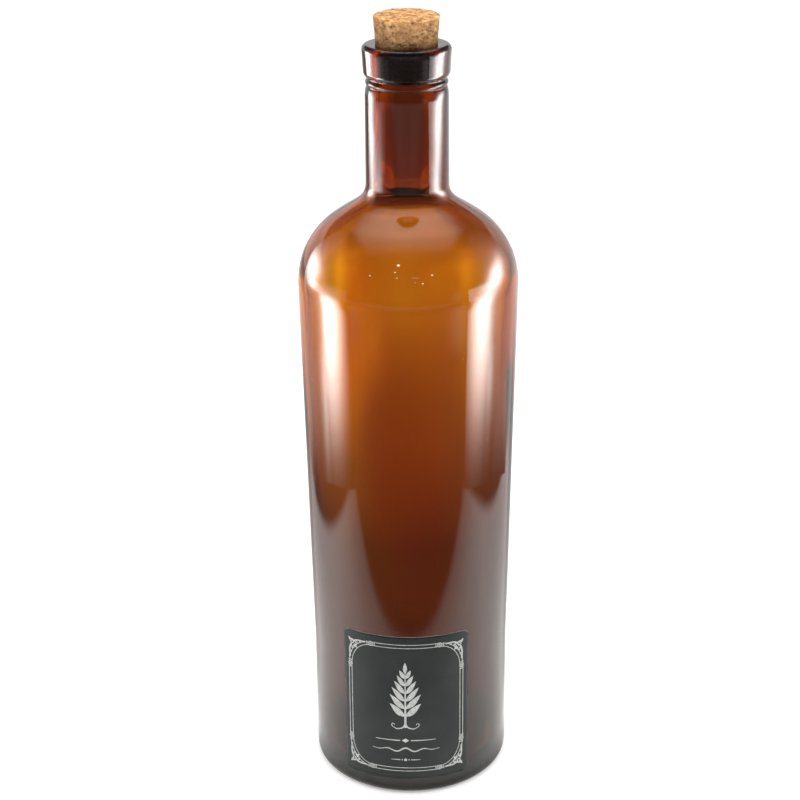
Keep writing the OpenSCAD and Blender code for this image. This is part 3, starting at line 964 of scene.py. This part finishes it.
def table_through(x, y):
    """The table as seen through the glass: the bottle's own amber shadow lies
    behind it, paler bands run along both sides of the shadow."""
    r = np.hypot(x, y)
    mid = np.interp(y, [-0.1, 0.0, 0.05, 0.085, 0.125, 0.18, 0.24, 0.30, 0.37, 0.45, 0.54, 0.64, 0.77, 0.83, 1.0, 1.2, 1.6],
                    [0.06, 0.02, 0.08, 0.15, 0.21, 0.21, 0.37, 0.50, 0.56, 0.74, 0.97, 0.97, 0.98, 0.84, 0.78, 0.72, 0.56])
    yl = [-0.1, 0.1, 0.18, 0.24, 0.30, 0.37, 0.45, 0.54, 0.64, 0.77, 0.95, 1.2, 1.6]
    left = np.interp(y, yl, [0.05, 0.16, 0.25, 0.50, 0.62, 0.80, 1.25, 1.40, 1.50, 1.45, 1.0, 1.05, 0.95])
    right = np.interp(y, yl, [0.05, 0.10, 0.17, 0.31, 0.42, 0.60, 0.78, 1.02, 1.20, 1.12, 0.80, 0.66, 0.58])
    tl = np.interp(y, [0.18, 0.30, 0.37, 0.45, 0.54, 0.64, 0.77, 1.0], [-0.022, -0.036, -0.040, -0.050, -0.062, -0.066, -0.074, -0.090])
    tr = np.interp(y, [0.18, 0.30, 0.37, 0.45, 0.54, 0.64, 0.77, 1.0], [0.030, 0.045, 0.045, 0.045, 0.043, 0.045, 0.062, 0.090])
    wd = np.interp(y, [0.18, 0.37, 0.45, 0.64, 0.77, 1.0], [0.030, 0.024, 0.010, 0.010, 0.018, 0.04])
    ml = S(0.5 + (tl - x) / wd / 2)
    mr = S(0.5 + (x - tr) / wd / 2)
    fade = 1 - 0.6 * S((np.abs(x) - 0.32) / 0.25)
    k = mid * (1 - ml) * (1 - mr) + (left * ml + right * mr) * fade
    k = k * (1 + S((y - 0.12) / 0.15) * (1 - S((y - 0.58) / 0.12)) * np.where(x < 0, 0.35 * S((-x - 0.10) / 0.04) + 0.5 * S((-x - 0.15) / 0.1), 0.9 * S((x - 0.12) / 0.10)))
    # two brighter streaks just outside the shadow
    al = np.interp(y, [0.28, 0.37, 0.45, 0.54, 0.64, 0.77, 0.95], [0.0, 0.36, 0.26, 0.22, 0.50, 0.15, 0.0])
    xl = np.interp(y, [0.3, 0.37, 0.45, 0.54, 0.64, 0.77], [-0.052, -0.051, -0.053, -0.066, -0.076, -0.09])
    ar = np.interp(y, [0.45, 0.54, 0.64, 0.77, 0.9], [0.0, 0.10, 0.40, 0.0, 0.0])
    k = k + al * bell(x, xl, 0.014) + ar * bell(x, np.interp(y, [0.54, 0.64, 0.77], [0.051, 0.055, 0.09]), 0.013)
    side = np.maximum(ml, mr)
    g = np.interp(y, [0.1, 0.125, 0.18, 0.24, 0.30, 0.37, 0.45, 0.54, 0.64, 0.77, 0.83, 1.5],
                  [0.55, 0.55, 0.42, 0.50, 0.62, 0.67, 0.76, 0.92, 0.92, 1.0, 1.05, 1.05])
    g = g * (1 - side) + side * np.interp(y, [0.1, 0.2, 0.37, 0.5, 0.64, 0.8, 1.2], [0.9, 0.9, 1.05, 1.36, 1.42, 1.25, 1.05]) * np.where(x < 0, 1.08, 0.92)
    # painted shadow: the table is nearly black under and just round the foot
    under = S((0.056 - r) / 0.018)
    red, grn, blu = k, k * g, k * g * g
    red, grn, blu = (c * (1 - under) + 0.012 * under for c in (red, grn, blu))
    return np.stack([red, grn, blu], -1)


gx = np.r_[np.linspace(-1.62, -0.72, 16), np.linspace(-0.70, 0.70, 201), np.linspace(0.72, 1.62, 16)]
GXX, GYY = np.meshgrid(gx, gx, indexing="ij")
glow_card("table_mirrored", GXX, GYY, np.full_like(GXX, -0.0002), table_glow(GXX, GYY), True, False)
glow_card("table_through", GXX, GYY, np.full_like(GXX, -0.0004), table_through(GXX, GYY), False, True)


WALL_R = 0.285


def wall_glow(az, z, through=False):
    """The near walls at both sides, azimuth in degrees from the camera side and
    height in mm: each has a tall lamp patch, a second one higher and further
    back, and a glow above."""
    foot = S((z + 10) / 60)
    low = 1 - S((z - 85) / 25)
    lb = 23.0 * bell(az, -85.5 + 1.8 * low, 11.5, 2.2) * bell(z, 104, 52, 2.5) * S((-az - 63 + 6 * low) / 9)
    lb = lb * (1 + (np.interp(z, [20, 50, 76, 114, 145], [2.9, 1.7, 0.6, 0.36, 0.5]) - 1) * S((-az - 91) / 8))
    lo = 11.0 * bell(az, -114.5, 11.5, 2.2) * bell(z, 211, 42, 2.4)
    rb = 23.0 * bell(az, 79.0 + 0.06 * (z - 100), 11.5, 2.2) * bell(z, 112, 54, 2.5) * S((az - 58 + 4 * low) / 10)
    rb = rb * (1 + (np.interp(z, [20, 50, 76, 114, 145], [2.8, 2.6, 1.0, 0.75, 0.8]) - 1) * S((az - 86) / 8))
    ro = 16.0 * bell(az, 96.5 + 0.12 * (z - 200), 10.5, 2.2) * bell(z, 209, 40, 2.4)
    tail = np.exp(-np.clip(z - 250, 0, None) / 75) * S((z - 150) / 80)
    lt = 2.6 * bell(az, -113, 13) * tail
    rt = 2.6 * bell(az, 104, 15) * tail
    lamps = lb + lo + rb + ro + lt + rt
    lamps = lamps * (1 - 0.4 * S((z - 135) / 15) * (1 - S((z - 178) / 12)) * (az < 0) * S((az + 96) / 6))
    up = S((z - 140) / 12) * (1 - S((z - 205) / 15))
    neck = 6.0 * bell(az, -107, 9, 2.4) * up * (1 - S((z - 176) / 12)) + 5.0 * bell(az, 80, 9, 2.4) * up * S((z - 172) / 12) + 3.0 * bell(az, 61, 9) * up + 0.45 * S((az + 84) / 10) * S((-az - 55) / 5) * up
    if through:
        lamps = np.minimum(0.45 * lamps * (1 - 0.88 * S((z - 105) / 50)), 2.2)
        v = 0.2 + lamps
        return np.stack([v, (v - 0.2) * 0.985 + 0.16, (v - 0.2) * 0.96 + 0.12], -1)
    v = 0.14 + (0.75 * S((np.abs(az) - 92) / 26) + 0.45 * bell(az, 104, 6)) * foot * S((330 - z) / 120) + lamps + neck
    return np.stack([v, v * 0.985, v * 0.96], -1)


for s_, nm in ((-1, "left"), (1, "right")):
    wa = np.linspace(60, 130, 106) * s_
    wz1 = np.r_[np.linspace(0, 470, 142)]
    WA, WZ = np.meshgrid(wa, wz1, indexing="ij")
    for th_, r_ in ((False, WALL_R), (True, WALL_R + 0.0005)):
        glow_card("studio_wall_" + nm + ("_through" if th_ else ""), r_ * np.sin(np.radians(WA)), -r_ * np.cos(np.radians(WA)),
                  WZ * MM, wall_glow(WA, WZ, th_), not th_, th_)


def room_glow(az, el, through=False):
    """What lies beyond: a pale back wall, and the dark room in front."""
    a = np.abs(az)
    if through:
        v = 0.12 + S((a - 120) / 40) * np.where(az < 0, 1.05, 0.72) * S((24 - el) / 14)
        v = v + 0.25 * S((168 - a) / 10) * S((a - 140) / 15) * (az < 0)
        return np.stack([v, v, v * 0.95], -1)
    v = np.maximum(0.11 + 0.06 * S((a - 60) / 50), 0.90 * S((a - 112) / 14) * S((22 - el) / 6))
    v = v + 0.5 * bell(az, 50, 5) * bell(el, -1, 5)
    return np.stack([v, v * 0.985, v * 0.96], -1)


ROOM_R, EYE_Z = 1.6, 0.205
wa = np.linspace(-180, 180, 241)
we = np.r_[np.linspace(-8, 46, 73)]
WA, WE = np.meshgrid(wa, we, indexing="ij")
wx, wy = ROOM_R * np.sin(np.radians(WA)), -ROOM_R * np.cos(np.radians(WA))
wz = EYE_Z + ROOM_R * np.tan(np.radians(WE))
glow_card("studio_walls", wx, wy, wz, room_glow(WA, WE), True, False)
glow_card("studio_walls_through", wx * 1.001, wy * 1.001, wz, room_glow(WA, WE, True), False, True)


def ceiling_glow(x, y):
    """Soft overhead panel, brightest a little behind the bottle."""
    fy = np.interp(y, [-0.48, -0.40, -0.30, -0.20, -0.10, 0.0, 0.2, 0.45, 0.62, 0.8, 1.0, 1.25, 1.5], [0.1, 0.32, 0.65, 1.05, 1.4, 1.8, 2.6, 2.85, 2.4, 1.65, 0.95, 0.35, 0.1])
    fx = np.interp(np.abs(x), [0, 0.2, 0.4, 0.62, 0.70, 0.80, 1.0], [1, 0.9, 0.68, 0.42, 0.18, 0.02, 0.0])
    v = 0.10 + fy * fx
    return np.stack([v, v * 0.985, v * 0.96], -1)


CX1, CY1 = np.meshgrid(np.linspace(-1.1, 1.1, 89), np.linspace(-0.6, 1.6, 89), indexing="ij")
glow_card("studio_ceiling", CX1, CY1, np.full_like(CX1, EYE_Z + 1.0), ceiling_glow(CX1, CY1), True, True)


def flag_material():
    m = bpy.data.materials.new("studio_flag_mat")
    m.use_nodes = True
    nt = m.node_tree
    nt.nodes.clear()
    out = nt.nodes.new("ShaderNodeOutputMaterial")
    em = nt.nodes.new("ShaderNodeEmission")
    tr = nt.nodes.new("ShaderNodeBsdfTransparent")
    mx = nt.nodes.new("ShaderNodeMixShader")
    at = N(nt, "ShaderNodeAttribute", attribute_name="glow", attribute_type="GEOMETRY")
    nt.links.new(at.outputs["Color"], em.inputs["Color"])
    nt.links.new(at.outputs["Alpha"], mx.inputs[0])
    nt.links.new(tr.outputs[0], mx.inputs[1])
    nt.links.new(em.outputs[0], mx.inputs[2])
    nt.links.new(mx.outputs[0], out.inputs["Surface"])
    m.cycles.emission_sampling = "NONE"
    return m


# a soft-edged dark flag close behind the neck, which only light through the glass meets
def flag_card(name, x, y, z, rgb, alpha):
    ob = glow_card(name, x, np.full_like(x, y), z, rgb, False, True)
    c = np.ones((x.size, 4), np.float32)
    c[:, :3] = rgb.reshape(-1, 3)
    c[:, 3] = alpha.ravel()
    ob.data.attributes["glow"].data.foreach_set("color", c.ravel())
    ob.data.materials[0] = FLAG


FLAG = flag_material()
fx_ = np.r_[np.linspace(-0.16, -0.030, 66), np.linspace(-0.029, 0.029, 59), np.linspace(0.030, 0.16, 66)]
fz_ = np.r_[np.linspace(208, 220, 13), np.arange(220.4, 227.2, 0.15), np.linspace(228, 300, 73)] * MM
FLX, FLZ = np.meshgrid(fx_, fz_, indexing="ij")
gap = 222.5 + np.minimum((np.abs(FLX) / 0.015) ** 1.5 * 2.6, 3.4)        # the top of the gap, it rises to both sides
fv = np.where(FLZ * 1000 < 221.3, np.interp(FLZ * 1000, [212, 215.5, 217.5], [0.22, 0.20, 0.035]), np.interp(FLZ * 1000, [222, 224, 228, 236, 250], [0.35, 0.34, 0.30, 0.25, 0.21]))
fs = np.where(FLX < 0, np.interp(-FLX * 1000, [8, 14, 20, 26, 37, 50, 62, 90], [0, 0.10, 0.28, 0.5, 0.7, 1.2, 1.8, 1.9]),
              np.interp(FLX * 1000, [8, 13, 20, 40, 60, 90], [0.0, 0.12, 0.30, 0.45, 0.5, 0.6]))
fs = fs * S((FLZ - 0.2135) / 0.004)
frgb = np.stack([fv + fs, fv * 0.82 + fs * 1.2, fv * 0.7 + fs * 1.2], -1)
fa = S((FLZ - 0.2120) / 0.0030) * S((0.16 - np.abs(FLX)) / 0.03) * S((0.300 - FLZ) / 0.02)
fa = fa * np.clip(np.maximum((221.4 - FLZ * 1000) / 0.2, (FLZ * 1000 - gap) / 0.3), 0, 1)
flag_card("studio_flag", FLX, 0.030, FLZ, frgb, fa)
BLX, BLZ = np.meshgrid(np.linspace(-0.05, 0.05, 101), np.linspace(0.190, 0.245, 111), indexing="ij")
edge = 212.0 + (np.abs(BLX + 0.001) / 0.033) ** 1.3 * 13
bv = 0.5 + 0.3 * S((np.abs(BLX) - 0.012) / 0.012)
bv = bv + (0.03 - bv) * S((BLZ * 1000 - edge + 0.8) / 1.6)
flag_card("studio_flag_low", BLX, 0.100, BLZ, np.stack([bv, bv * 0.85, bv * 0.7], -1),
          S((0.05 - np.abs(BLX)) / 0.01) * S((BLZ - 0.190) / 0.01) * S((0.245 - BLZ) / 0.01))

def area(name, loc, target, size, power, size_y=None, col=(1, 1, 1)):
    li = bpy.data.lights.new(name, "AREA")
    li.shape = "RECTANGLE" if size_y else "SQUARE"
    li.size = size
    if size_y:
        li.size_y = size_y
    li.energy = power
    li.color = col
    ob = bpy.data.objects.new(name, li)
    ob.location = loc
    ob.rotation_euler = (Vector(target) - Vector(loc)).to_track_quat("-Z", "Y").to_euler()
    bpy.context.scene.collection.objects.link(ob)
    ob.visible_glossy = False
    ob.visible_transmission = False
    return ob


area("key", (0.15, -1.3, 1.5), (0, 0, 0.1), 0.9, 15.0)
area("fill_l", (-1.5, -0.1, 0.9), (0, 0, 0.15), 0.8, 10.0)
area("fill_r", (1.5, -0.1, 0.9), (0, 0, 0.15), 0.8, 10.0)

world = bpy.data.worlds.new("studio")
bpy.context.scene.world = world
world.use_nodes = True
wnt = world.node_tree
wnt.nodes.clear()
wout = wnt.nodes.new("ShaderNodeOutputWorld")
wlp = wnt.nodes.new("ShaderNodeLightPath")
bg1 = wnt.nodes.new("ShaderNodeBackground")
bg1.inputs["Color"].default_value = (1, 1, 1, 1)
bg1.inputs["Strength"].default_value = 0.85
bg2 = wnt.nodes.new("ShaderNodeBackground")
bg2.inputs["Color"].default_value = (1, 0.95, 0.9, 1)
bg2.inputs["Strength"].default_value = 0.13
wmix = wnt.nodes.new("ShaderNodeMixShader")
wmax = wnt.nodes.new("ShaderNodeMath")
wmax.operation = "MAXIMUM"
wnt.links.new(wlp.outputs["Is Glossy Ray"], wmax.inputs[0])
wnt.links.new(wlp.outputs["Is Transmission Ray"], wmax.inputs[1])
wnt.links.new(wmax.outputs[0], wmix.inputs[0])
wnt.links.new(bg1.outputs[0], wmix.inputs[1])
wnt.links.new(bg2.outputs[0], wmix.inputs[2])
wnt.links.new(wmix.outputs[0], wout.inputs["Surface"])

# ----------------------------------------------------------------------------
# Camera: 21.4 degrees down, a little to the right of the label's front
# ----------------------------------------------------------------------------
DIST, HEIGHT, PITCH, ROLL, FPX, CX0 = 0.6663, 0.4062, math.radians(21.41), math.radians(-0.396), 1968.7, 408.91
cam = bpy.data.cameras.new("camera")
cam_ob = bpy.data.objects.new("camera", cam)
bpy.context.scene.collection.objects.link(cam_ob)
cam.sensor_width = 36.0
cam.sensor_fit = "HORIZONTAL"
cam.lens = FPX / 800 * 36.0
cam.shift_x = -(CX0 - 400) / 800
cam.shift_y = 0.0
cam.clip_start, cam.clip_end = 0.01, 50
fwd = Vector((-math.sin(AZ) * math.cos(PITCH), math.cos(AZ) * math.cos(PITCH), -math.sin(PITCH)))
right = Vector((math.cos(AZ), math.sin(AZ), 0))
up = right.cross(fwd)
# the picture leans: its foot lies a little to the right
c, s = math.cos(ROLL), math.sin(ROLL)
r2 = right * c + up * s
u2 = -right * s + up * c
m = Matrix((r2, u2, -fwd)).transposed().to_4x4()
m.translation = Vector((DIST * math.sin(AZ), -DIST * math.cos(AZ), HEIGHT))
cam_ob.matrix_world = m
bpy.context.scene.camera = cam_ob
bpy.context.scene.view_settings.view_transform = "Standard"
bpy.context.scene.view_settings.look = "None"
